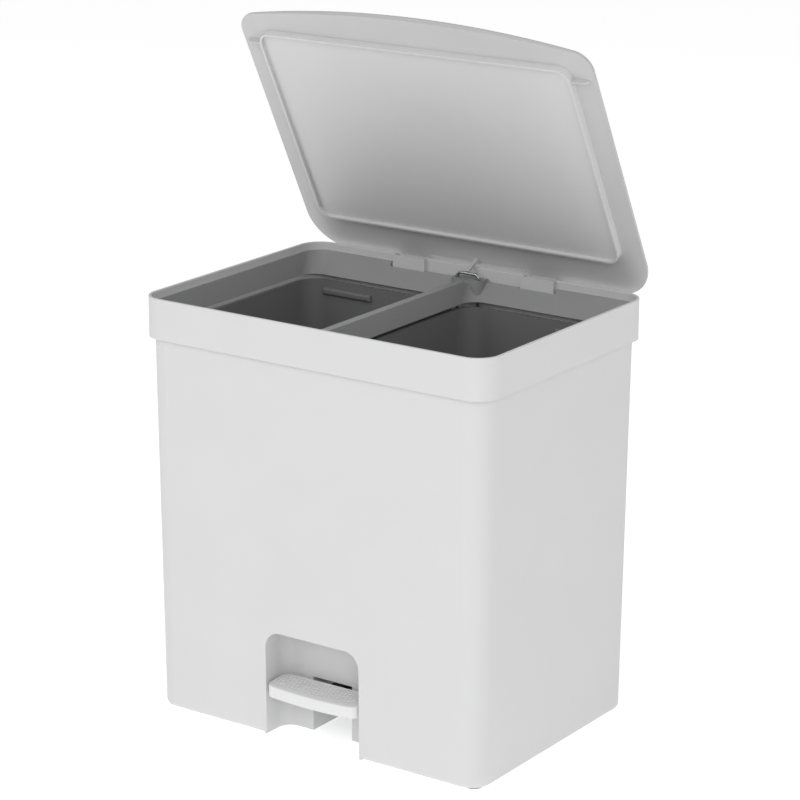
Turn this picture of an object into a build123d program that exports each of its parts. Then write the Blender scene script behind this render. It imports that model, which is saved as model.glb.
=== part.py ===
from build123d import *
import os
from math import cos, radians, tan

# Two-compartment pedal bin, built in millimetres with +Z up and the front at -Y.
# The origin is on the floor, at the middle of the footprint. The lid is drawn
# open and the pedal pressed, which is the pose the assembly rests in.

# Outer shell
shell_top_width = 388.1
shell_top_depth = 275.6
shell_side_draft = 3.4
shell_end_draft = 3.55
shell_base_corner = 22.5
shell_top_corner = 23.2
shell_wall = 2.5
shell_edge_radius = 4.5
cut_overrun = 10.0
base_flange_width = 24.0
inner_floor_above_recess = 4.0

# Feet
foot_height = 1.0
foot_radius = 8.0
foot_stud_radius = 2.0
foot_stud_length = 3.5
foot_inset = 14.0

# Rim collar
collar_top_z = 420.0
collar_height = 40.2
collar_above_shell = 32.5
collar_side_overhang = 4.45
collar_end_overhang = 4.6
collar_corner = 24.2
collar_wall = 3.0
collar_edge_radius = 0.9
ledge_thickness = 3.0
ledge_overlap = 1.3

# Pedal recess in the front of the shell
recess_half_width = 55.0
recess_height = 108.0
recess_depth = 33.25
recess_top_corner = 17.0
recess_back_corner = 13.0
slot_height = 57.0

# Lid hinge
hinge_inset = 0.4
hinge_below_top = 9.7
lid_open_angle = 62.5
hinge_pin_radius = 2.0
socket_center_x = 76.25
socket_width = 38.5
socket_half_depth = 7.0
socket_wall = 1.6
socket_end_wall = 3.0
socket_height = 15.8
socket_back_drop = 8.0
socket_shoulder_drop = 4.0
lug_radius = 4.0
lug_side_gap = 2.4

# Lid
lid_side_overhang = 2.2
lid_rear_overhang = 0.7
lid_front_overhang = 17.2
lid_front_bow = 16.0
lid_rear_corner = 42.0
lid_front_corner = 22.0
lid_edge_thickness = 6.0
lid_edge_radius = 5.4
lid_crown = 4.0
lid_panel = 2.4
lid_seat_gap = 0.5
weld_depth = 0.5
liner_depth = 2.1
liner_thickness = 2.1
rib_side_inset = 18.25
rib_front_inset = 13.2
rib_rear_inset = 43.8
rib_thickness = 2.2
rib_depth = 7.6
rib_corner = 14.0
side_rib_setback = 14.3
side_rib_gap = 1.25
side_rib_depth = 5.5
side_rib_thickness = 2.0
side_rib_chamfer = 3.0
bridge_rib_end_gap = 1.0
bridge_rib_depth = 1.2
bridge_rib_before_hinge = 8.8
bridge_rib_thickness = 1.6
push_arm = 13.5
push_tab_width = 4.0
push_tab_thickness = 2.4

# Insert frame
frame_gap = 0.4
frame_wall = 1.9
frame_top_drop = 8.0
frame_side_lean = 4.1
frame_rear_lean = 15.4
frame_corner = 17.0
divider_top_width = 8.0
divider_bottom_width = 17.0
divider_wall = 2.0
divider_end_margin = 22.1
frame_notch_side_gap = 2.5
frame_notch_drop = 12.0
frame_notch_reach = 26.4
frame_pad_drop = 9.5
frame_column_wall = 3.2
frame_column_front = 7.2
frame_column_corner = 8.0
bail_side_gap = 0.8
tab_slot_front = 4.4
tab_slot_side_gap = 1.0
socket_clearance = 1.0

# Inner buckets
bucket_below_shell = 1.5
bucket_side_gap = 1.55
bucket_middle_gap = 3.5
bucket_front_gap = 1.8
bucket_rear_gap = 3.2
bucket_draft = 7.0
bucket_corner = 22.0
bucket_wall = 2.0
bucket_rim_overhang = 1.2
bucket_rim_height = 8.0
bucket_lip = 1.5
grip_width = 60.0
grip_height = 7.0
grip_reach = 4.0
grip_below_rim = 11.0
grip_offset_x = 43.0

# Push rod
rod_radius = 1.5
rod_half_width = 12.5
rod_bend = 4.5
push_gap = 0.3
guide_side_wall = 4.0
guide_front_wall = 1.8
guide_height = 10.0
guide_upper_drop = 47.5
guide_lower_rise = 38.0
rod_fit = 0.1

# Pedal lever
pivot_y = 5.0
pivot_z = 44.4
lever_tilt = 4.0
lever_half_width = 18.0
lever_sheet = 2.0
lever_height = 8.5
lever_end_margin = 5.0
lever_side_room = 5.0
link_before_rod = 4.0
link_pin_radius = 2.0
link_pin_head_radius = 3.4
link_slot_play = 0.6
axle_radius = 2.5
axle_end = 1.5
clip_radius = 5.5
clip_thickness = 1.2
bush_radius = 5.0
pin_fit = 0.05
side_play = 0.4

# Rod foot
foot_block_front = 5.0
foot_block_rear = 2.8
foot_block_below = 4.0
foot_block_above = 12.0
foot_block_seat = 9.0

# Pedal tread
tread_side_gap = 2.0
tread_rear_gap = 3.3
tread_front_overhang = 2.75
tread_bow = 3.5
tread_front_corner = 9.0
tread_rear_corner = 11.0
tread_thickness = 12.0
tread_skin = 3.0
tread_skirt = 2.5
tread_top_z = 54.2
tread_edge_radius = 1.5
tread_seat_length = 9.7
groove_count = 6
groove_width = 1.6
groove_depth = 0.8
groove_end_margin = 3.5
groove_pitch = 4.4
screw_radius = 1.8
screw_head_radius = 3.4
screw_head_height = 1.8
screw_length = 8.0
screw_spacing = 18.0

# Shell and collar, worked out from the values above
floor_z = foot_height
shell_base_width = shell_top_width - 2 * shell_side_draft
shell_base_depth = shell_top_depth - 2 * shell_end_draft
shell_top_z = collar_top_z - collar_above_shell
inner_floor_z = recess_height + inner_floor_above_recess
collar_bottom_z = collar_top_z - collar_height
collar_width = shell_top_width + 2 * collar_side_overhang
collar_depth = shell_top_depth + 2 * collar_end_overhang
collar_inner_width = collar_width - 2 * collar_wall
collar_inner_depth = collar_depth - 2 * collar_wall
collar_inner_corner = collar_corner - collar_wall
ledge_z = shell_top_z + ledge_thickness
recess_back_y = recess_depth - shell_base_depth / 2
slot_half_width = lever_half_width + lever_side_room

# Hinge, lid and push rod
hinge_y = collar_depth / 2 - hinge_inset
hinge_z = collar_top_z - hinge_below_top
rod_y = hinge_y - push_arm
half_swing = radians(lid_open_angle / 2)
push_drop = push_arm * tan(half_swing)
rod_top_z = hinge_z + push_drop - push_tab_thickness / 2 - push_gap
socket_front_y = hinge_y - socket_half_depth
socket_bottom_z = collar_top_z - socket_height
socket_back_top_z = collar_top_z - socket_back_drop
socket_shoulder_z = collar_top_z - socket_shoulder_drop
lid_under_z = collar_top_z + lid_seat_gap
lid_half_width = collar_width / 2 + lid_side_overhang
lid_rear_y = collar_depth / 2 + lid_rear_overhang
lid_front_y = -collar_depth / 2 - lid_front_overhang
rib_width = collar_inner_width - 2 * rib_side_inset
rib_rear_y = collar_depth / 2 - rib_rear_inset
rib_front_y = rib_front_inset - collar_depth / 2
rib_length = rib_rear_y - rib_front_y
side_rib_y = rib_front_y + side_rib_setback
side_rib_reach = rib_side_inset - side_rib_gap
bridge_rib_half_length = socket_center_x - socket_width / 2 - bridge_rib_end_gap
bridge_rib_y = hinge_y - bridge_rib_before_hinge

# Insert frame and buckets
frame_top_z = collar_top_z - frame_top_drop
frame_notch_half_width = socket_center_x + socket_width / 2 + frame_notch_side_gap
frame_notch_z = collar_top_z - frame_notch_drop
frame_notch_front_y = collar_depth / 2 - frame_notch_reach
frame_pad_z = collar_top_z - frame_pad_drop
bail_slot_half_width = rod_half_width + rod_radius + bail_side_gap
bail_slot_half_depth = rod_radius + bail_side_gap
tab_slot_half_width = push_tab_width / 2 + tab_slot_side_gap
tab_slot_front_y = rod_y - tab_slot_front
frame_column_half_width = bail_slot_half_width + frame_column_wall
frame_column_front_y = rod_y - frame_column_front
guide_half_width = rod_half_width + rod_radius + guide_side_wall
guide_front_y = rod_y - rod_radius - guide_front_wall
guide_upper_z = shell_top_z - guide_upper_drop
guide_lower_z = inner_floor_z + guide_lower_rise
bucket_rim_z = shell_top_z - bucket_below_shell
bucket_outer_x = shell_top_width / 2 - shell_wall - bucket_side_gap
bucket_width = bucket_outer_x - bucket_middle_gap
bucket_center_x = (bucket_outer_x + bucket_middle_gap) / 2
bucket_front_y = shell_wall + bucket_front_gap - shell_top_depth / 2
bucket_rear_y = guide_front_y - bucket_rear_gap
bucket_depth = bucket_rear_y - bucket_front_y
bucket_center_y = (bucket_rear_y + bucket_front_y) / 2

# Pedal, lever and rod foot
tread_half_width = recess_half_width - tread_side_gap
tread_rear_y = recess_back_y - tread_rear_gap
tread_front_y = -shell_base_depth / 2 - tread_front_overhang
lever_front_y = tread_rear_y - tread_seat_length
axle_reach = slot_half_width + shell_wall + side_play + clip_thickness + axle_end
link_y = rod_y - link_before_rod
link_z = pivot_z + (link_y - pivot_y) * tan(radians(lever_tilt))
foot_block_front_y = link_y - foot_block_front
foot_block_rear_y = rod_y + foot_block_rear


def block(x0, x1, y0, y1, z0, z1):
    """A plain box between two corners."""
    size = (x1 - x0, y1 - y0, z1 - z0)
    return Pos((x0 + x1) / 2, (y0 + y1) / 2, (z0 + z1) / 2) * Box(*size)


def tapered(z0, size0, z1, size1, center0=(0, 0), center1=(0, 0)):
    """A loft between two rounded rectangles; a size is (width, depth, corner)."""
    low = Pos(center0[0], center0[1], z0) * RectangleRounded(*size0)
    high = Pos(center1[0], center1[1], z1) * RectangleRounded(*size1)
    return loft([low, high], ruled=True)


def across(x0, x1, y, z, radius):
    """A round bar along X."""
    bar = Rot(Y=90) * Cylinder(radius, x1 - x0)
    return Pos((x0 + x1) / 2, y, z) * bar


def mirrored(solid):
    """The same solid on the other side of the middle plane."""
    return mirror(solid, about=Plane.YZ)


def shell_size(z, inset):
    """Width, depth and corner of the shell at a height, moved in by an inset."""
    share = (z - floor_z) / (shell_top_z - floor_z)
    width = shell_base_width + share * (shell_top_width - shell_base_width)
    depth = shell_base_depth + share * (shell_top_depth - shell_base_depth)
    corner = shell_base_corner + share * (shell_top_corner - shell_base_corner)
    return (width - 2 * inset, depth - 2 * inset, corner - inset)


def shell_block(z0, z1, inset):
    """The solid inside the shell's drafted walls between two heights."""
    return tapered(z0, shell_size(z0, inset), z1, shell_size(z1, inset))


def foot_places():
    """Centres of the feet: four on the base flange and one on the channel's tie."""
    x = shell_base_width / 2 - foot_inset
    y = shell_base_depth / 2 - foot_inset
    return [(-x, -y), (x, -y), (-x, y), (x, y), (0, 0)]


def recess_void():
    """The pedal recess: open at the front and the floor, round in its corners."""
    front_y = -shell_base_depth
    outline = block(
        -recess_half_width, recess_half_width, front_y, recess_back_y, -cut_overrun, recess_height
    )
    top_edges = outline.edges().filter_by(Axis.Y).group_by(Axis.Z)[-1]
    outline = fillet(top_edges, recess_top_corner)
    back_edges = outline.edges().filter_by(Axis.Z).group_by(Axis.Y)[-1]
    return fillet(back_edges, recess_back_corner)


def recess_box():
    """The walls round the pedal recess, before the recess is cut out of them."""
    reach = recess_half_width + shell_wall
    walls = block(
        -reach,
        reach,
        -shell_base_depth,
        recess_back_y + shell_wall,
        floor_z,
        inner_floor_z,
    )
    return walls & shell_block(floor_z, shell_top_z, 0)


def lever_channel():
    """Two long ribs under the inner floor that carry the axle, tied at the base."""
    rib = block(
        slot_half_width,
        slot_half_width + shell_wall,
        recess_back_y,
        shell_base_depth / 2,
        floor_z,
        inner_floor_z + shell_wall / 2,
    )
    ribs = (rib + mirrored(rib)) & shell_block(floor_z, shell_top_z, shell_wall / 2)
    tie = block(
        -slot_half_width - shell_wall / 2, slot_half_width + shell_wall / 2,
        -foot_inset, foot_inset, floor_z, floor_z + shell_wall
    )
    ribs = ribs + tie
    hole = across(-axle_reach, axle_reach, pivot_y, pivot_z, axle_radius + pin_fit)
    return ribs - hole


def outer_shell():
    """Drafted outer shell with the raised inner floor and the pedal recess."""
    outer = shell_block(floor_z, shell_top_z, 0)
    outer = fillet(outer.edges().group_by(Axis.Z)[0], shell_edge_radius)
    inside = shell_block(floor_z + shell_wall, shell_top_z, shell_wall)
    width, depth, corner = shell_size(floor_z, 0)
    opening = RectangleRounded(
        width - 2 * base_flange_width, depth - 2 * base_flange_width, corner
    )
    shell = outer - inside - extrude(opening, amount=2 * floor_z + shell_wall)
    floor = shell_block(inner_floor_z, inner_floor_z + shell_wall, shell_wall / 2)
    shell = shell + floor + recess_box() + lever_channel()
    slot = block(
        -slot_half_width, slot_half_width, recess_back_y - 1, recess_back_y + 2 * shell_wall,
        -1, slot_height
    )
    shell = shell - recess_void() - slot
    for x, y in foot_places():
        stud = Pos(x, y, floor_z) * Cylinder(foot_stud_radius + pin_fit, 4 * shell_wall)
        shell = shell - stud
    for side in (-1, 1):
        leg = Pos(side * rod_half_width, rod_y, inner_floor_z) * Cylinder(
            rod_radius + 4 * rod_fit, 4 * shell_wall
        )
        shell = shell - leg
    return shell


def foot(x, y):
    """A soft foot pad with its push-in stud."""
    pad = Pos(x, y, foot_height / 2) * Cylinder(foot_radius, foot_height)
    stud_z = foot_height + foot_stud_length / 2
    stud = Pos(x, y, stud_z) * Cylinder(foot_stud_radius, foot_stud_length)
    return pad + stud


def hinge_socket():
    """The right-hand hinge socket: an open-topped box on the collar's rear wall."""
    x0 = socket_center_x - socket_width / 2
    x1 = socket_center_x + socket_width / 2
    half_depth = hinge_y - socket_front_y
    rear_y = hinge_y + half_depth
    box = block(x0, x1, socket_front_y, rear_y, socket_bottom_z, collar_top_z)
    shoulder = block(x0, x1, collar_depth / 2, rear_y, socket_shoulder_z, collar_top_z)
    return box - shoulder


def hinge_socket_void():
    """What the right-hand hinge socket leaves open for the lid's lug and the pin."""
    x0 = socket_center_x - socket_width / 2 + socket_end_wall
    x1 = socket_center_x + socket_width / 2 - socket_end_wall
    half_depth = hinge_y - socket_front_y
    front_y = socket_front_y + socket_wall
    rear_y = hinge_y + half_depth - socket_wall
    cavity = block(x0, x1, front_y, rear_y, socket_bottom_z + socket_wall, collar_top_z)
    low_back = block(x0, x1, hinge_y, hinge_y + half_depth, socket_back_top_z, collar_top_z)
    bore = across(
        x0 - socket_end_wall, x1 + socket_end_wall, hinge_y, hinge_z,
        hinge_pin_radius + pin_fit
    )
    return cavity + low_back + bore


def rim_collar():
    """Rim ring that caps the shell, carries the insert frame and holds the hinge."""
    ring_outer = RectangleRounded(collar_width, collar_depth, collar_corner)
    ring_inner = RectangleRounded(
        collar_inner_width, collar_inner_depth, collar_inner_corner
    )
    ring = Pos(Z=collar_bottom_z) * extrude(
        ring_outer - ring_inner, amount=collar_top_z - collar_bottom_z
    )
    ring = fillet(ring.edges().group_by(Axis.Z)[-1], collar_edge_radius)
    width, depth, corner = shell_size(shell_top_z, shell_wall + ledge_overlap)
    ledge = Pos(Z=shell_top_z) * extrude(
        ring_outer - RectangleRounded(width, depth, corner), amount=ledge_thickness
    )
    socket = hinge_socket()
    void = hinge_socket_void()
    collar = ring + ledge + socket + mirrored(socket)
    return collar - void - mirrored(void)


def hinge_pin():
    """The right-hand steel hinge pin."""
    reach = socket_width / 2 - side_play
    return across(
        socket_center_x - reach, socket_center_x + reach, hinge_y, hinge_z, hinge_pin_radius
    )


def frame_outer():
    """Outside of the insert frame: it narrows downward, most of all at the rear."""
    top_width = collar_inner_width - 2 * frame_gap
    top_depth = collar_inner_depth - 2 * frame_gap
    low_width = top_width - 2 * frame_side_lean
    low_depth = top_depth - frame_side_lean - frame_rear_lean
    shift = (frame_side_lean - frame_rear_lean) / 2
    corner = collar_inner_corner - frame_gap
    return tapered(
        ledge_z, (low_width, low_depth, corner), frame_top_z,
        (top_width, top_depth, corner), (0, shift), (0, 0)
    )


def frame_opening():
    """The right-hand opening of the insert frame."""
    top_x1 = collar_inner_width / 2 - frame_gap - frame_wall
    top_y1 = collar_inner_depth / 2 - frame_gap - frame_wall
    low_x1 = top_x1 - frame_side_lean
    low_y0 = -top_y1 + frame_side_lean
    low_y1 = top_y1 - frame_rear_lean
    top_x0 = divider_top_width / 2
    low_x0 = divider_bottom_width / 2
    top_size = (top_x1 - top_x0, 2 * top_y1, frame_corner)
    low_size = (low_x1 - low_x0, low_y1 - low_y0, frame_corner)
    top_center = ((top_x0 + top_x1) / 2, 0)
    low_center = ((low_x0 + low_x1) / 2, (low_y0 + low_y1) / 2)
    return tapered(ledge_z, low_size, frame_top_z, top_size, low_center, top_center)


def divider_hollow():
    """Hollow under the divider bar, open downward."""
    half_low = divider_bottom_width / 2 - divider_wall
    half_top = divider_top_width / 2 - divider_wall
    top_z = frame_pad_z - divider_wall
    outline = Plane.XZ * Polygon(
        (-half_low, ledge_z), (half_low, ledge_z), (half_top, top_z), (-half_top, top_z),
        align=None
    )
    length = frame_column_front_y + collar_inner_depth / 2 - divider_end_margin
    prism = extrude(outline, amount=length / 2, both=True)
    return Pos(Y=-frame_corner) * prism


def insert_frame():
    """Bag-holding frame with two openings and the divider bar between them."""
    outer = frame_outer()
    opening = frame_opening()
    frame = outer - opening - mirrored(opening)
    frame = frame - divider_hollow()
    notch = block(
        -frame_notch_half_width, frame_notch_half_width, frame_notch_front_y,
        collar_depth / 2, frame_notch_z, collar_top_z
    )
    column = block(
        -frame_column_half_width, frame_column_half_width, frame_column_front_y,
        collar_depth / 2, ledge_z, frame_pad_z
    )
    front_edges = column.edges().filter_by(Axis.Z).group_by(Axis.Y)[0]
    column = fillet(front_edges, frame_column_corner)
    frame = (frame - notch) + (column & outer)
    divider_top = block(
        -frame_column_half_width, frame_column_half_width, -collar_depth / 2 + frame_corner,
        collar_depth / 2, frame_pad_z, collar_top_z
    )
    clearance = block(
        socket_center_x - socket_width / 2 - socket_clearance,
        socket_center_x + socket_width / 2 + socket_clearance,
        socket_front_y - socket_clearance,
        collar_depth / 2,
        socket_bottom_z - socket_clearance,
        collar_top_z,
    )
    bail_slot = block(
        -bail_slot_half_width, bail_slot_half_width, rod_y - bail_slot_half_depth,
        rod_y + bail_slot_half_depth, ledge_z - 1, collar_top_z
    )
    tab_slot = block(
        -tab_slot_half_width, tab_slot_half_width, tab_slot_front_y, rod_y,
        ledge_z - 1, collar_top_z
    )
    frame = frame - divider_top - clearance - mirrored(clearance)
    return frame - bail_slot - tab_slot


def bucket():
    """The right-hand inner bucket with its rolled rim and grip bar."""
    base_z = inner_floor_z + shell_wall
    rim_size = (bucket_width - 2 * bucket_rim_overhang, bucket_depth - 2 * bucket_rim_overhang)
    base_size = (rim_size[0] - 2 * bucket_draft, rim_size[1] - 2 * bucket_draft)
    body = tapered(
        base_z, (*base_size, bucket_corner), bucket_rim_z, (*rim_size, bucket_corner)
    )
    body = fillet(body.edges().group_by(Axis.Z)[0], shell_edge_radius)
    inner_base = (base_size[0] - 2 * bucket_wall, base_size[1] - 2 * bucket_wall)
    inner_rim = (rim_size[0] - 2 * bucket_wall, rim_size[1] - 2 * bucket_wall)
    inside = tapered(
        base_z + bucket_wall, (*inner_base, bucket_corner - bucket_wall), bucket_rim_z,
        (*inner_rim, bucket_corner - bucket_wall)
    )
    rim_outer = RectangleRounded(
        bucket_width, bucket_depth, bucket_corner + bucket_rim_overhang
    )
    rim = Pos(Z=bucket_rim_z - bucket_wall) * extrude(rim_outer, amount=bucket_wall)
    lip_inner = RectangleRounded(
        bucket_width - 2 * bucket_lip, bucket_depth - 2 * bucket_lip, bucket_corner
    )
    lip = Pos(Z=bucket_rim_z - bucket_rim_height) * extrude(
        rim_outer - lip_inner, amount=bucket_rim_height
    )
    grip_y = inner_rim[1] / 2 + bucket_wall / 2
    grip = block(
        grip_offset_x - grip_width / 2, grip_offset_x + grip_width / 2,
        grip_y - grip_reach - bucket_wall / 2, grip_y,
        bucket_rim_z - grip_below_rim - grip_height / 2,
        bucket_rim_z - grip_below_rim + grip_height / 2
    )
    front_face = grip.faces().sort_by(Axis.Y)[0]
    grip = fillet(front_face.edges(), grip_height / 3)
    solid = body + rim + lip - inside + grip
    return Pos(bucket_center_x, bucket_center_y) * solid


def lid_outline():
    """Plan outline of the lid: square rear, large rear corners, bowed front edge."""
    side = lid_half_width
    corner_y = lid_front_y + lid_front_bow
    rear = Line((-side, lid_rear_y), (side, lid_rear_y))
    right = Line((side, lid_rear_y), (side, corner_y))
    front = ThreePointArc((side, corner_y), (0, lid_front_y), (-side, corner_y))
    left = Line((-side, corner_y), (-side, lid_rear_y))
    outline = make_face(Curve() + [rear, right, front, left])
    by_y = outline.vertices().group_by(Axis.Y)
    outline = fillet(by_y[-1], lid_rear_corner)
    by_y = [v for v in outline.vertices() if v.Y < corner_y + 1]
    return fillet(by_y, lid_front_corner)


def crown_block(drop):
    """A huge cylinder that gives the lid its slight crown, lowered by a drop."""
    top_z = lid_under_z + lid_edge_thickness + lid_crown
    radius = lid_half_width ** 2 / (2 * lid_crown)
    cylinder = Rot(X=90) * Cylinder(radius - drop, 2 * collar_depth)
    return Pos(Z=top_z - radius) * cylinder


def liner_outline(inset):
    """Plan outline of the lid's rib loop, moved in by an inset."""
    return Pos(0, rib_rear_y - rib_length / 2) * RectangleRounded(
        rib_width - 2 * inset, rib_length - 2 * inset, rib_corner - inset
    )


def lid_liner():
    """Inner panel of the lid with the rib loop round it."""
    low_z = lid_under_z - rib_depth
    ring = liner_outline(0) - liner_outline(rib_thickness)
    loop = Pos(Z=low_z) * extrude(ring, amount=rib_depth)
    panel_z = lid_under_z - liner_depth - liner_thickness
    panel = Pos(Z=panel_z) * extrude(liner_outline(rib_thickness / 2), amount=liner_thickness)
    return open_lid(loop + panel)


def side_ribs():
    """Short ribs from the liner out to the lid's sides."""
    x0 = rib_width / 2
    side = block(
        x0, x0 + side_rib_reach, side_rib_y - side_rib_thickness, side_rib_y,
        lid_under_z - side_rib_depth, lid_under_z + lid_seat_gap
    )
    end = side.edges().filter_by(Axis.Y).sort_by(lambda e: e.center().X - e.center().Z)[-1]
    side = chamfer(end, side_rib_chamfer)
    return side + mirrored(side)


def lid_lug():
    """The right-hand hinge lug: a barrel on the pin and a neck up to the lid."""
    reach = socket_width / 2 - socket_end_wall - lug_side_gap
    x0 = socket_center_x - reach
    x1 = socket_center_x + reach
    barrel = across(x0, x1, hinge_y, hinge_z, lug_radius)
    neck = block(x0, x1, hinge_y - lug_radius, hinge_y, hinge_z, lid_under_z + weld_depth)
    return barrel + neck


def push_tab():
    """Round-ended tab that the push rod lifts, on a low rib between the lugs."""
    tip_z = hinge_z - push_drop
    half_width = push_tab_width / 2
    rib = block(
        -bridge_rib_half_length, bridge_rib_half_length, bridge_rib_y,
        bridge_rib_y + bridge_rib_thickness,
        lid_under_z - bridge_rib_depth, lid_under_z + weld_depth
    )
    tab = block(
        -half_width, half_width, rod_y - push_tab_thickness / 2,
        rod_y + push_tab_thickness / 2, tip_z, lid_under_z + weld_depth
    )
    tip = across(-half_width, half_width, rod_y, tip_z, push_tab_thickness / 2)
    return rib + tab + tip


def open_lid(solid):
    """Swings a solid drawn on the closed lid into the open pose."""
    return Pos(0, hinge_y, hinge_z) * Rot(X=-lid_open_angle) * Pos(0, -hinge_y, -hinge_z) * solid


def lid_shell():
    """Lid moulding, crowned on top, with ribs, hinge lugs and the push tab below."""
    blank = Pos(Z=lid_under_z) * extrude(lid_outline(), amount=2 * lid_edge_thickness)
    body = blank & crown_block(0)
    crown = body.faces().sort_by(Axis.Z)[-1]
    body = fillet(crown.edges(), lid_edge_radius)
    pocket = Pos(Z=lid_under_z) * extrude(
        liner_outline(rib_thickness), amount=2 * lid_edge_thickness
    )
    pocket = pocket & crown_block(lid_panel)
    lug = lid_lug()
    lid = body - pocket + side_ribs() + lug + mirrored(lug) + push_tab()
    bore_radius = hinge_pin_radius + pin_fit
    reach = socket_center_x + socket_width
    bore = across(-reach, reach, hinge_y, hinge_z, bore_radius)
    return open_lid(lid - bore)


def push_rod():
    """Steel wire bent to a hairpin: two legs up the rear wall and a bail on top."""
    top_z = rod_top_z - rod_radius
    low_z = link_z + foot_block_above - foot_block_seat
    points = [
        (-rod_half_width, rod_y, low_z),
        (-rod_half_width, rod_y, top_z),
        (rod_half_width, rod_y, top_z),
        (rod_half_width, rod_y, low_z),
    ]
    path = FilletPolyline(*points, radius=rod_bend)
    section = Pos(*points[0]) * Circle(rod_radius)
    return sweep(section, path=path)


def rod_guide(z):
    """Guide block on the rear wall that both legs of the push rod slide through."""
    body = block(
        -guide_half_width, guide_half_width, guide_front_y, shell_top_depth / 2,
        z, z + guide_height
    )
    body = body & shell_block(inner_floor_z, shell_top_z, shell_wall)
    for side in (-1, 1):
        body = body - Pos(side * rod_half_width, rod_y, z) * Cylinder(
            rod_radius + rod_fit, 4 * guide_height
        )
    return body


def rod_foot():
    """Block that joins the rod's legs to the lever through the link pin."""
    half_width = lever_half_width - lever_sheet - side_play
    body = block(
        -half_width, half_width, foot_block_front_y, foot_block_rear_y,
        link_z - foot_block_below, link_z + foot_block_above
    )
    for side in (-1, 1):
        leg = Pos(side * rod_half_width, rod_y, link_z + foot_block_above) * Cylinder(
            rod_radius + pin_fit, 2 * foot_block_seat
        )
        body = body - leg
    pin = across(-axle_reach, axle_reach, link_y, link_z, link_pin_radius + pin_fit)
    return body - pin


def link_pin():
    """Headed pin through the rod foot and the lever's end slots."""
    head_x = lever_half_width + side_play
    pin = across(-head_x, head_x, link_y, link_z, link_pin_radius)
    head = across(head_x, head_x + clip_thickness, link_y, link_z, link_pin_head_radius)
    return pin + head + mirrored(head)


def tilt_lever(solid):
    """Turns a solid drawn on the level lever into the pressed pose."""
    return Pos(0, pivot_y, pivot_z) * Rot(X=lever_tilt) * Pos(0, -pivot_y, -pivot_z) * solid


def pedal_lever():
    """Folded steel channel, open downward, from the tread to the push rod."""
    reach = (link_y - pivot_y) / cos(radians(lever_tilt))
    end_y = pivot_y + reach
    low_z = pivot_z - lever_height / 2
    top_z = pivot_z + lever_height / 2
    channel = block(
        -lever_half_width, lever_half_width, lever_front_y, end_y + lever_end_margin,
        low_z, top_z
    )
    inner = lever_half_width - lever_sheet
    hollow = block(
        -inner, inner, lever_front_y - 1, end_y + 2 * lever_end_margin,
        low_z - 1, top_z - lever_sheet
    )
    window = block(
        -inner, inner, end_y - 4 * lever_end_margin, end_y + 2 * lever_end_margin,
        low_z, top_z + 1
    )
    axle = across(-axle_reach, axle_reach, pivot_y, pivot_z, axle_radius + pin_fit)
    slot_radius = link_pin_radius + link_slot_play / 2
    slot = Pos(0, end_y, pivot_z) * Box(4 * inner, link_slot_play, 2 * slot_radius)
    for side in (-1, 1):
        y = end_y + side * link_slot_play / 2
        slot = slot + across(-2 * inner, 2 * inner, y, pivot_z, slot_radius)
    lever = channel - hollow - window - axle - slot
    for x, y in screw_places():
        lever = lever - Pos(x, y, top_z) * Cylinder(screw_radius + pin_fit, 3 * lever_sheet)
    return tilt_lever(lever)


def seat_rear_y():
    """Rear end of the tread's seat on the lever."""
    return tread_rear_y - tread_skirt / 2


def screw_places():
    """Places of the two tread screws, side by side in the middle of the seat."""
    y = (lever_front_y + seat_rear_y()) / 2
    return [(-screw_spacing / 2, y), (screw_spacing / 2, y)]


def tread_outline():
    """Plan outline of the tread with its bowed front edge."""
    side = tread_half_width
    rear = Line((-side, tread_rear_y), (side, tread_rear_y))
    right = Line((side, tread_rear_y), (side, tread_front_y))
    front = ThreePointArc(
        (side, tread_front_y), (0, tread_front_y - tread_bow), (-side, tread_front_y)
    )
    left = Line((-side, tread_front_y), (-side, tread_rear_y))
    outline = make_face(Curve() + [rear, right, front, left])
    rear_corners = outline.vertices().group_by(Axis.Y)[-1]
    outline = fillet(rear_corners, tread_rear_corner)
    front_corners = [v for v in outline.vertices() if v.Y < tread_front_y + 1]
    return fillet(front_corners, tread_front_corner)


def pedal_tread():
    """Grooved tread moulding screwed down on the front of the lever."""
    top_z = tread_top_z + (pivot_y - tread_front_y) * tan(radians(lever_tilt))
    bottom_z = top_z - tread_thickness
    lever_top_z = pivot_z + lever_height / 2
    body = Pos(Z=bottom_z) * extrude(tread_outline(), amount=tread_thickness)
    body = fillet(body.edges().group_by(Axis.Z)[-1], tread_edge_radius)
    hollow = Pos(Z=bottom_z) * extrude(
        offset(tread_outline(), amount=-tread_skirt), amount=tread_thickness - tread_skin
    )
    seat = block(
        -lever_half_width, lever_half_width, lever_front_y, seat_rear_y(),
        lever_top_z, top_z - tread_skin / 2
    )
    tread = body - hollow + seat
    middle = (tread_front_y + tread_rear_y) / 2
    for index in range(groove_count):
        y = middle + (index - (groove_count - 1) / 2) * groove_pitch
        groove = Pos(0, y, top_z) * Box(
            2 * (tread_half_width - groove_end_margin), groove_width, 2 * groove_depth
        )
        tread = tread - groove
    hole_depth = screw_length - screw_head_height - lever_sheet + side_play
    for x, y in screw_places():
        hole = Pos(x, y, lever_top_z) * Cylinder(screw_radius + pin_fit, 2 * hole_depth)
        tread = tread - hole
    return tilt_lever(tread)


def tread_screw(x, y):
    """Screw from below that holds the tread on the lever."""
    seat_z = pivot_z + lever_height / 2 - lever_sheet
    head_z = seat_z - screw_head_height / 2
    shank_z = seat_z + (screw_length - screw_head_height) / 2
    head = Pos(x, y, head_z) * Cylinder(screw_head_radius, screw_head_height)
    shank = Pos(x, y, shank_z) * Cylinder(screw_radius, screw_length - screw_head_height)
    return tilt_lever(head + shank)


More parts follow.
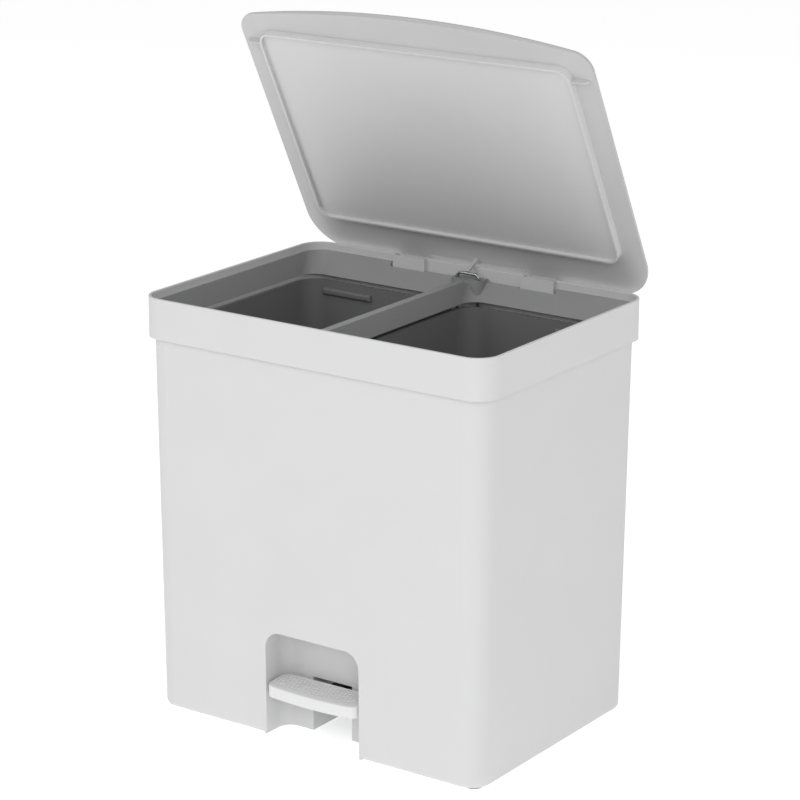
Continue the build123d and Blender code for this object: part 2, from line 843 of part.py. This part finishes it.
def pedal_axle():
    """Steel axle through both channel ribs and the lever."""
    return across(-axle_reach, axle_reach, pivot_y, pivot_z, axle_radius)


def axle_clip():
    """The right-hand clip on the end of the axle."""
    x0 = slot_half_width + shell_wall + side_play
    ring = across(x0, x0 + clip_thickness, pivot_y, pivot_z, clip_radius)
    return ring - across(0, axle_reach, pivot_y, pivot_z, axle_radius + pin_fit)


def lever_bush():
    """The right-hand spacer bush between the lever and the channel rib."""
    x0 = lever_half_width + side_play
    x1 = slot_half_width - side_play
    ring = across(x0, x1, pivot_y, pivot_z, bush_radius)
    return ring - across(0, axle_reach, pivot_y, pivot_z, axle_radius + pin_fit)


def all_parts():
    """Every named piece of the bin."""
    parts = {
        "outer_shell": outer_shell(),
        "rim_collar": rim_collar(),
        "insert_frame": insert_frame(),
        "bucket_right": bucket(),
        "bucket_left": mirrored(bucket()),
        "hinge_pin_right": hinge_pin(),
        "hinge_pin_left": mirrored(hinge_pin()),
        "lid_shell": lid_shell(),
        "lid_liner": lid_liner(),
        "push_rod": push_rod(),
        "rod_guide_upper": rod_guide(guide_upper_z),
        "rod_guide_lower": rod_guide(guide_lower_z),
        "rod_foot": rod_foot(),
        "link_pin": link_pin(),
        "pedal_lever": pedal_lever(),
        "pedal_tread": pedal_tread(),
        "pedal_axle": pedal_axle(),
        "axle_clip_right": axle_clip(),
        "axle_clip_left": mirrored(axle_clip()),
        "lever_bush_right": lever_bush(),
        "lever_bush_left": mirrored(lever_bush()),
    }
    for side, (x, y) in zip(("left", "right"), screw_places()):
        parts[f"tread_screw_{side}"] = tread_screw(x, y)
    places = ("front_left", "front_right", "rear_left", "rear_right", "center")
    for place, (x, y) in zip(places, foot_places()):
        parts[f"foot_{place}"] = foot(x, y)
    return parts


os.makedirs("parts", exist_ok=True)
for name, solid in all_parts().items():
    export_step(solid, f"parts/{name}.step")
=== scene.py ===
"""Builds the looks of a two-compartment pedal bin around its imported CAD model."""

from __future__ import annotations

import logging
import math
from dataclasses import dataclass, field
from enum import Enum
from typing import Any, Iterable

import bpy
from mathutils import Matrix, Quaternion, Vector

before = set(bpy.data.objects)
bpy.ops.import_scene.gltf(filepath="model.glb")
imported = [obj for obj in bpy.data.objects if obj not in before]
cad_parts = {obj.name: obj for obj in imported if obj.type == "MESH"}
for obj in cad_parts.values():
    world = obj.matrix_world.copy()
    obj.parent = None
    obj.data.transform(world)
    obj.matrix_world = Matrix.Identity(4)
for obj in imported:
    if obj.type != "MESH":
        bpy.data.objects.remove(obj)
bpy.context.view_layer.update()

LOG = logging.getLogger("pedal_bin")
MM = 0.001


class Ior(Enum):
    """Index of refraction of each clear base material."""

    POLYPROPYLENE = 1.49
    RUBBER = 1.52
    PAPER_WHITE = 1.45


def srgb_to_linear(hex_code: str) -> tuple[float, float, float, float]:
    """Turns an sRGB hex colour into linear RGBA.

    Args:
        hex_code: Six hex digits, such as "E8E8E6".

    Returns:
        Linear red, green, blue and an alpha of one.
    """
    channels = [int(hex_code[i : i + 2], 16) / 255 for i in (0, 2, 4)]
    linear = [
        c / 12.92 if c <= 0.04045 else ((c + 0.055) / 1.055) ** 2.4 for c in channels
    ]
    return (linear[0], linear[1], linear[2], 1.0)


def add_node(
    tree: bpy.types.NodeTree,
    kind: str,
    settings: dict[str, Any] | None = None,
    links: dict[str, bpy.types.NodeSocket] | None = None,
) -> bpy.types.Node:
    """Adds one node, sets its properties and sockets, and links its inputs.

    Args:
        tree: The material's node tree.
        kind: Blender's node type name.
        settings: Property or input socket names with their values.
        links: Input socket names with the output sockets that feed them.

    Returns:
        The new node.
    """
    node = tree.nodes.new(kind)
    for key, value in (settings or {}).items():
        if key in node.inputs:
            node.inputs[key].default_value = value
        else:
            setattr(node, key, value)
    for key, socket in (links or {}).items():
        tree.links.new(socket, node.inputs[key])
    return node


def new_material(name: str) -> tuple[bpy.types.Material, bpy.types.NodeTree]:
    """Makes an empty node material.

    Args:
        name: Material name.

    Returns:
        The material and its cleared node tree.
    """
    material = bpy.data.materials.new(name)
    material.use_nodes = True
    material.node_tree.nodes.clear()
    return material, material.node_tree


@dataclass(frozen=True)
class MouldedPolypropylene:
    """Injection-moulded polypropylene: waxy, softly glossy, with a spark-eroded grain.

    The tool's fine grain breaks up reflections, and slow flow of the melt leaves
    clouds of slightly different tone and gloss.
    """

    name: str
    colour: str
    flow_colour: str
    flow_from: float = 0.3
    flow_to: float = 0.7
    roughness: float = 0.46
    roughness_swing: float = 0.06
    grain_mm: float = 0.9  # real grain is about 0.1 mm; drawn coarser so that it shows
    grain_depth_mm: float = 0.02
    grain_strength: float = 0.35
    flow_mm: float = 70.0

    def material(self) -> bpy.types.Material:
        """Builds the node material.

        Returns:
            The finished material.
        """
        material, tree = new_material(self.name)
        place = add_node(tree, "ShaderNodeTexCoord")
        flow = add_node(
            tree,
            "ShaderNodeTexNoise",
            {"Scale": 1 / (self.flow_mm * MM), "Detail": 3.0, "Roughness": 0.5},
            {"Vector": place.outputs["Object"]},
        )
        grain = add_node(
            tree,
            "ShaderNodeTexNoise",
            {"Scale": 1 / (self.grain_mm * MM), "Detail": 2.0, "Roughness": 0.6},
            {"Vector": place.outputs["Object"]},
        )
        tone = add_node(tree, "ShaderNodeValToRGB", links={"Fac": flow.outputs["Fac"]})
        tone.color_ramp.elements[0].position = self.flow_from
        tone.color_ramp.elements[1].position = self.flow_to
        tone.color_ramp.elements[0].color = srgb_to_linear(self.flow_colour)
        tone.color_ramp.elements[1].color = srgb_to_linear(self.colour)
        gloss = add_node(
            tree,
            "ShaderNodeMapRange",
            {
                "To Min": self.roughness - self.roughness_swing,
                "To Max": self.roughness + self.roughness_swing,
            },
            {"Value": grain.outputs["Fac"]},
        )
        relief = add_node(
            tree,
            "ShaderNodeBump",
            {"Strength": self.grain_strength, "Distance": self.grain_depth_mm * MM},
            {"Height": grain.outputs["Fac"]},
        )
        shader = add_node(
            tree,
            "ShaderNodeBsdfPrincipled",
            {"IOR": Ior.POLYPROPYLENE.value},
            {
                "Base Color": tone.outputs["Color"],
                "Roughness": gloss.outputs["Result"],
                "Normal": relief.outputs["Normal"],
            },
        )
        add_node(
            tree,
            "ShaderNodeOutputMaterial",
            links={"Surface": shader.outputs["BSDF"]},
        )
        return material


@dataclass(frozen=True)
class DrawnSteel:
    """Bright drawn steel wire or turned pin with fine lines along its length."""

    name: str
    colour: str = "C9CACB"
    line_colour: str = "9FA0A2"
    roughness_low: float = 0.2
    roughness_high: float = 0.36
    line_mm: float = 0.35
    line_from: float = 0.35
    line_to: float = 0.65
    stretch: float = 0.04

    def material(self) -> bpy.types.Material:
        """Builds the node material.

        Returns:
            The finished material.
        """
        material, tree = new_material(self.name)
        place = add_node(tree, "ShaderNodeTexCoord")
        along = add_node(
            tree,
            "ShaderNodeMapping",
            {"Scale": (1.0, 1.0, self.stretch)},
            {"Vector": place.outputs["Object"]},
        )
        lines = add_node(
            tree,
            "ShaderNodeTexNoise",
            {"Scale": 1 / (self.line_mm * MM), "Detail": 3.0},
            {"Vector": along.outputs["Vector"]},
        )
        tone = add_node(tree, "ShaderNodeValToRGB", links={"Fac": lines.outputs["Fac"]})
        tone.color_ramp.elements[0].position = self.line_from
        tone.color_ramp.elements[1].position = self.line_to
        tone.color_ramp.elements[0].color = srgb_to_linear(self.line_colour)
        tone.color_ramp.elements[1].color = srgb_to_linear(self.colour)
        gloss = add_node(
            tree,
            "ShaderNodeMapRange",
            {"To Min": self.roughness_low, "To Max": self.roughness_high},
            {"Value": lines.outputs["Fac"]},
        )
        shader = add_node(
            tree,
            "ShaderNodeBsdfPrincipled",
            {"Metallic": 1.0},
            {
                "Base Color": tone.outputs["Color"],
                "Roughness": gloss.outputs["Result"],
            },
        )
        add_node(
            tree,
            "ShaderNodeOutputMaterial",
            links={"Surface": shader.outputs["BSDF"]},
        )
        return material


@dataclass(frozen=True)
class ZincPlate:
    """Zinc-plated pressed steel sheet: dull metal with a faint crystal pattern."""

    name: str
    colour: str = "B4B8BA"
    dark_colour: str = "8E9396"
    crystal_mm: float = 6.0
    roughness_low: float = 0.34
    roughness_high: float = 0.5

    def material(self) -> bpy.types.Material:
        """Builds the node material.

        Returns:
            The finished material.
        """
        material, tree = new_material(self.name)
        place = add_node(tree, "ShaderNodeTexCoord")
        crystals = add_node(
            tree,
            "ShaderNodeTexVoronoi",
            {"Scale": 1 / (self.crystal_mm * MM)},
            {"Vector": place.outputs["Object"]},
        )
        level = add_node(
            tree, "ShaderNodeSeparateColor", links={"Color": crystals.outputs["Color"]}
        )
        tone = add_node(tree, "ShaderNodeValToRGB", links={"Fac": level.outputs["Red"]})
        tone.color_ramp.elements[0].color = srgb_to_linear(self.dark_colour)
        tone.color_ramp.elements[1].color = srgb_to_linear(self.colour)
        gloss = add_node(
            tree,
            "ShaderNodeMapRange",
            {"To Min": self.roughness_low, "To Max": self.roughness_high},
            {"Value": level.outputs["Green"]},
        )
        shader = add_node(
            tree,
            "ShaderNodeBsdfPrincipled",
            {"Metallic": 1.0},
            {
                "Base Color": tone.outputs["Color"],
                "Roughness": gloss.outputs["Result"],
            },
        )
        add_node(
            tree,
            "ShaderNodeOutputMaterial",
            links={"Surface": shader.outputs["BSDF"]},
        )
        return material


@dataclass(frozen=True)
class FootRubber:
    """Soft moulded rubber: pale, matt, with a dusty bloom in patches."""

    name: str
    colour: str = "A9A9A8"
    bloom_colour: str = "B9B9B8"
    bloom_mm: float = 3.0
    roughness: float = 0.82

    def material(self) -> bpy.types.Material:
        """Builds the node material.

        Returns:
            The finished material.
        """
        material, tree = new_material(self.name)
        place = add_node(tree, "ShaderNodeTexCoord")
        bloom = add_node(
            tree,
            "ShaderNodeTexNoise",
            {"Scale": 1 / (self.bloom_mm * MM), "Detail": 4.0},
            {"Vector": place.outputs["Object"]},
        )
        tone = add_node(tree, "ShaderNodeValToRGB", links={"Fac": bloom.outputs["Fac"]})
        tone.color_ramp.elements[0].color = srgb_to_linear(self.colour)
        tone.color_ramp.elements[1].color = srgb_to_linear(self.bloom_colour)
        shader = add_node(
            tree,
            "ShaderNodeBsdfPrincipled",
            {"Roughness": self.roughness, "IOR": Ior.RUBBER.value},
            {"Base Color": tone.outputs["Color"]},
        )
        add_node(
            tree,
            "ShaderNodeOutputMaterial",
            links={"Surface": shader.outputs["BSDF"]},
        )
        return material


def dress(nodes: Iterable[str], material: bpy.types.Material) -> int:
    """Gives CAD nodes a finished material.

    Args:
        nodes: Names of the CAD nodes.
        material: The material for all of them.

    Returns:
        How many nodes were dressed.
    """
    count = 0
    for name in nodes:
        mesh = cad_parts[name].data
        mesh.materials.clear()
        mesh.materials.append(material)
        count += 1
    return count


@dataclass
class OuterBody:
    """The drafted shell, its rim collar and the soft feet."""

    plastic: MouldedPolypropylene = field(
        default_factory=lambda: MouldedPolypropylene(
            "moulded polypropylene, white", "D2D2D2", "D0D0D0"
        )
    )
    rubber: FootRubber = field(default_factory=lambda: FootRubber("moulded foot rubber"))

    def build(self) -> int:
        """Dresses the body's pieces and returns how many there are."""
        feet = [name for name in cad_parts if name.startswith("foot_")]
        count = dress(("outer_shell", "rim_collar"), self.plastic.material())
        return count + dress(feet, self.rubber.material())


@dataclass
class Interior:
    """The insert frame and the two lift-out buckets."""

    frame_plastic: MouldedPolypropylene = field(
        default_factory=lambda: MouldedPolypropylene(
            "moulded polypropylene, mid grey", "949495", "919192", roughness=0.5
        )
    )
    bucket_plastic: MouldedPolypropylene = field(
        default_factory=lambda: MouldedPolypropylene(
            "moulded polypropylene, dark grey", "727273", "6F6F70", roughness=0.5
        )
    )

    def build(self) -> int:
        """Dresses the interior's pieces and returns how many there are."""
        count = dress(("insert_frame",), self.frame_plastic.material())
        buckets = ("bucket_left", "bucket_right")
        return count + dress(buckets, self.bucket_plastic.material())


@dataclass
class Lid:
    """The hinged lid moulding, its liner and the two steel hinge pins."""

    # The lid shell's white plastic is given a darker colour (C3C3C3 with C1C1C1 flow, against
    # the body's D2D2D2) as painted shade: it stands in for the shade on the lid's underside.
    plastic: MouldedPolypropylene = field(
        default_factory=lambda: MouldedPolypropylene(
            "moulded polypropylene, white lid in painted shade", "C3C3C3", "C1C1C1"
        )
    )
    liner_plastic: MouldedPolypropylene = field(
        default_factory=lambda: MouldedPolypropylene(
            "moulded polypropylene, white liner", "D2D2D2", "D0D0D0"
        )
    )
    steel: DrawnSteel = field(default_factory=lambda: DrawnSteel("turned steel pin"))

    def build(self) -> int:
        """Dresses the lid's pieces and returns how many there are."""
        count = dress(("lid_shell",), self.plastic.material())
        count += dress(("lid_liner",), self.liner_plastic.material())
        pins = ("hinge_pin_left", "hinge_pin_right")
        return count + dress(pins, self.steel.material())


@dataclass
class PedalDrive:
    """Everything between the foot and the lid: tread, lever, axle, rod and guides."""

    tread_plastic: MouldedPolypropylene = field(
        default_factory=lambda: MouldedPolypropylene(
            "moulded polypropylene, white tread", "DEDEDE", "DCDCDC", grain_depth_mm=0.005
        )
    )
    guide_plastic: MouldedPolypropylene = field(
        default_factory=lambda: MouldedPolypropylene(
            "moulded polypropylene, grey guides", "9B9B9C", "969697"
        )
    )
    wire: DrawnSteel = field(default_factory=lambda: DrawnSteel("drawn steel wire"))
    sheet: ZincPlate = field(default_factory=lambda: ZincPlate("zinc-plated sheet steel"))

    def build(self) -> int:
        """Dresses the drive's pieces and returns how many there are."""
        steel = [
            "push_rod",
            "link_pin",
            "pedal_axle",
            "axle_clip_left",
            "axle_clip_right",
            "tread_screw_left",
            "tread_screw_right",
        ]
        guides = [
            "rod_guide_upper",
            "rod_guide_lower",
            "rod_foot",
            "lever_bush_left",
            "lever_bush_right",
        ]
        count = dress(("pedal_tread",), self.tread_plastic.material())
        count += dress(("pedal_lever",), self.sheet.material())
        count += dress(steel, self.wire.material())
        return count + dress(guides, self.guide_plastic.material())


@dataclass(frozen=True)
class LightPanel:
    """One square soft light panel: its name, place and side in metres, and watts."""

    name: str
    place: tuple[float, float, float]
    side: float
    watts: float


@dataclass
class Studio:
    """Pale floor, soft light and the camera."""

    floor_half: float = 14.0
    floor_colour: str = "F4F4F4"
    floor_shade: str = "F1F1F1"
    azimuth: float = math.radians(34.75)
    elevation: float = math.radians(16.56)
    roll: float = math.radians(0.218)
    distance: float = 2.8987
    target: tuple[float, float, float] = (0.0075, 0.0004, 0.317)
    lens: float = 135.2
    clip_end: float = 60.0
    sky_strength: float = 0.42
    floor_glow: float = 0.63
    floor_mottle_scale: float = 1.5
    floor_roughness: float = 0.9
    floor_specular: float = 0.1
    panels: tuple[LightPanel, ...] = (
        LightPanel("key_panel", (-1.2, -3.0, 2.6), 2.4, 32.0),
        LightPanel("corner_panel", (2.1, -2.6, 1.8), 1.2, 24.0),
        LightPanel("side_panel", (2.4, -0.9, 2.3), 1.6, 5.0),
        LightPanel("top_panel", (0.6, -0.4, 3.4), 2.0, 14.0),
    )

    def build_floor(self) -> bpy.types.Object:
        """Makes the floor sheet.

        Returns:
            The floor object.
        """
        mesh = bpy.data.meshes.new("studio_floor")
        h = self.floor_half
        mesh.from_pydata([(-h, -h, 0), (h, -h, 0), (h, h, 0), (-h, h, 0)], [], [(0, 1, 2, 3)])
        floor = bpy.data.objects.new("studio_floor", mesh)
        bpy.context.scene.collection.objects.link(floor)
        material, tree = new_material("studio paper")
        place = add_node(tree, "ShaderNodeTexCoord")
        shade = add_node(
            tree,
            "ShaderNodeTexNoise",
            {"Scale": self.floor_mottle_scale},
            {"Vector": place.outputs["Object"]},
        )
        tone = add_node(tree, "ShaderNodeValToRGB", links={"Fac": shade.outputs["Fac"]})
        tone.color_ramp.elements[0].color = srgb_to_linear(self.floor_shade)
        tone.color_ramp.elements[1].color = srgb_to_linear(self.floor_colour)
        shader = add_node(
            tree,
            "ShaderNodeBsdfPrincipled",
            {
                "Roughness": self.floor_roughness,
                "IOR": Ior.PAPER_WHITE.value,
                "Specular IOR Level": self.floor_specular,
                "Emission Color": srgb_to_linear(self.floor_colour),
                "Emission Strength": self.floor_glow,
            },
            {"Base Color": tone.outputs["Color"]},
        )
        add_node(
            tree, "ShaderNodeOutputMaterial", links={"Surface": shader.outputs["BSDF"]}
        )
        mesh.materials.append(material)
        return floor

    def build_camera(self) -> bpy.types.Object:
        """Makes the camera.

        Returns:
            The camera object, set as the scene's camera.
        """
        data = bpy.data.cameras.new("studio_camera")
        data.lens = self.lens
        data.clip_end = self.clip_end
        camera = bpy.data.objects.new("studio_camera", data)
        bpy.context.scene.collection.objects.link(camera)
        back = Vector(
            (
                math.sin(self.azimuth) * math.cos(self.elevation),
                -math.cos(self.azimuth) * math.cos(self.elevation),
                math.sin(self.elevation),
            )
        )
        camera.location = Vector(self.target) + back * self.distance
        aim = (-back).to_track_quat("-Z", "Y")
        camera.rotation_mode = "QUATERNION"
        camera.rotation_quaternion = aim @ Quaternion((0, 0, 1), self.roll)
        bpy.context.scene.camera = camera
        return camera

    def add_panel(self, panel: LightPanel) -> bpy.types.Object:
        """Adds one soft light panel aimed at the middle of the bin.

        Args:
            panel: The panel to add.

        Returns:
            The light object.
        """
        data = bpy.data.lights.new(panel.name, "AREA")
        data.shape = "SQUARE"
        data.size = panel.side
        data.energy = panel.watts
        light = bpy.data.objects.new(panel.name, data)
        bpy.context.scene.collection.objects.link(light)
        light.location = panel.place
        aim = Vector(self.target) - Vector(panel.place)
        light.rotation_mode = "QUATERNION"
        light.rotation_quaternion = aim.to_track_quat("-Z", "Y")
        return light

    def build_lights(self) -> int:
        """Sets the sky and the light panels.

        Returns:
            How many panels were added.
        """
        world = bpy.data.worlds.new("studio_sky")
        world.use_nodes = True
        sky = world.node_tree.nodes["Background"]
        sky.inputs["Color"].default_value = (1.0, 1.0, 1.0, 1.0)
        sky.inputs["Strength"].default_value = self.sky_strength
        bpy.context.scene.world = world
        for panel in self.panels:
            self.add_panel(panel)
        bpy.context.scene.view_settings.view_transform = "Standard"
        return len(self.panels)


def main() -> None:
    """Builds every sub-assembly in order and reports each one."""
    logging.basicConfig(level=logging.INFO, format="%(name)s: %(message)s")
    studio = Studio()
    studio.build_floor()
    studio.build_camera()
    LOG.info("studio: floor, camera and %d light panels", studio.build_lights())
    for piece in (OuterBody(), Interior(), Lid(), PedalDrive()):
        LOG.info("%s: %d pieces dressed", type(piece).__name__, piece.build())


if __name__ == "__main__":
    main()
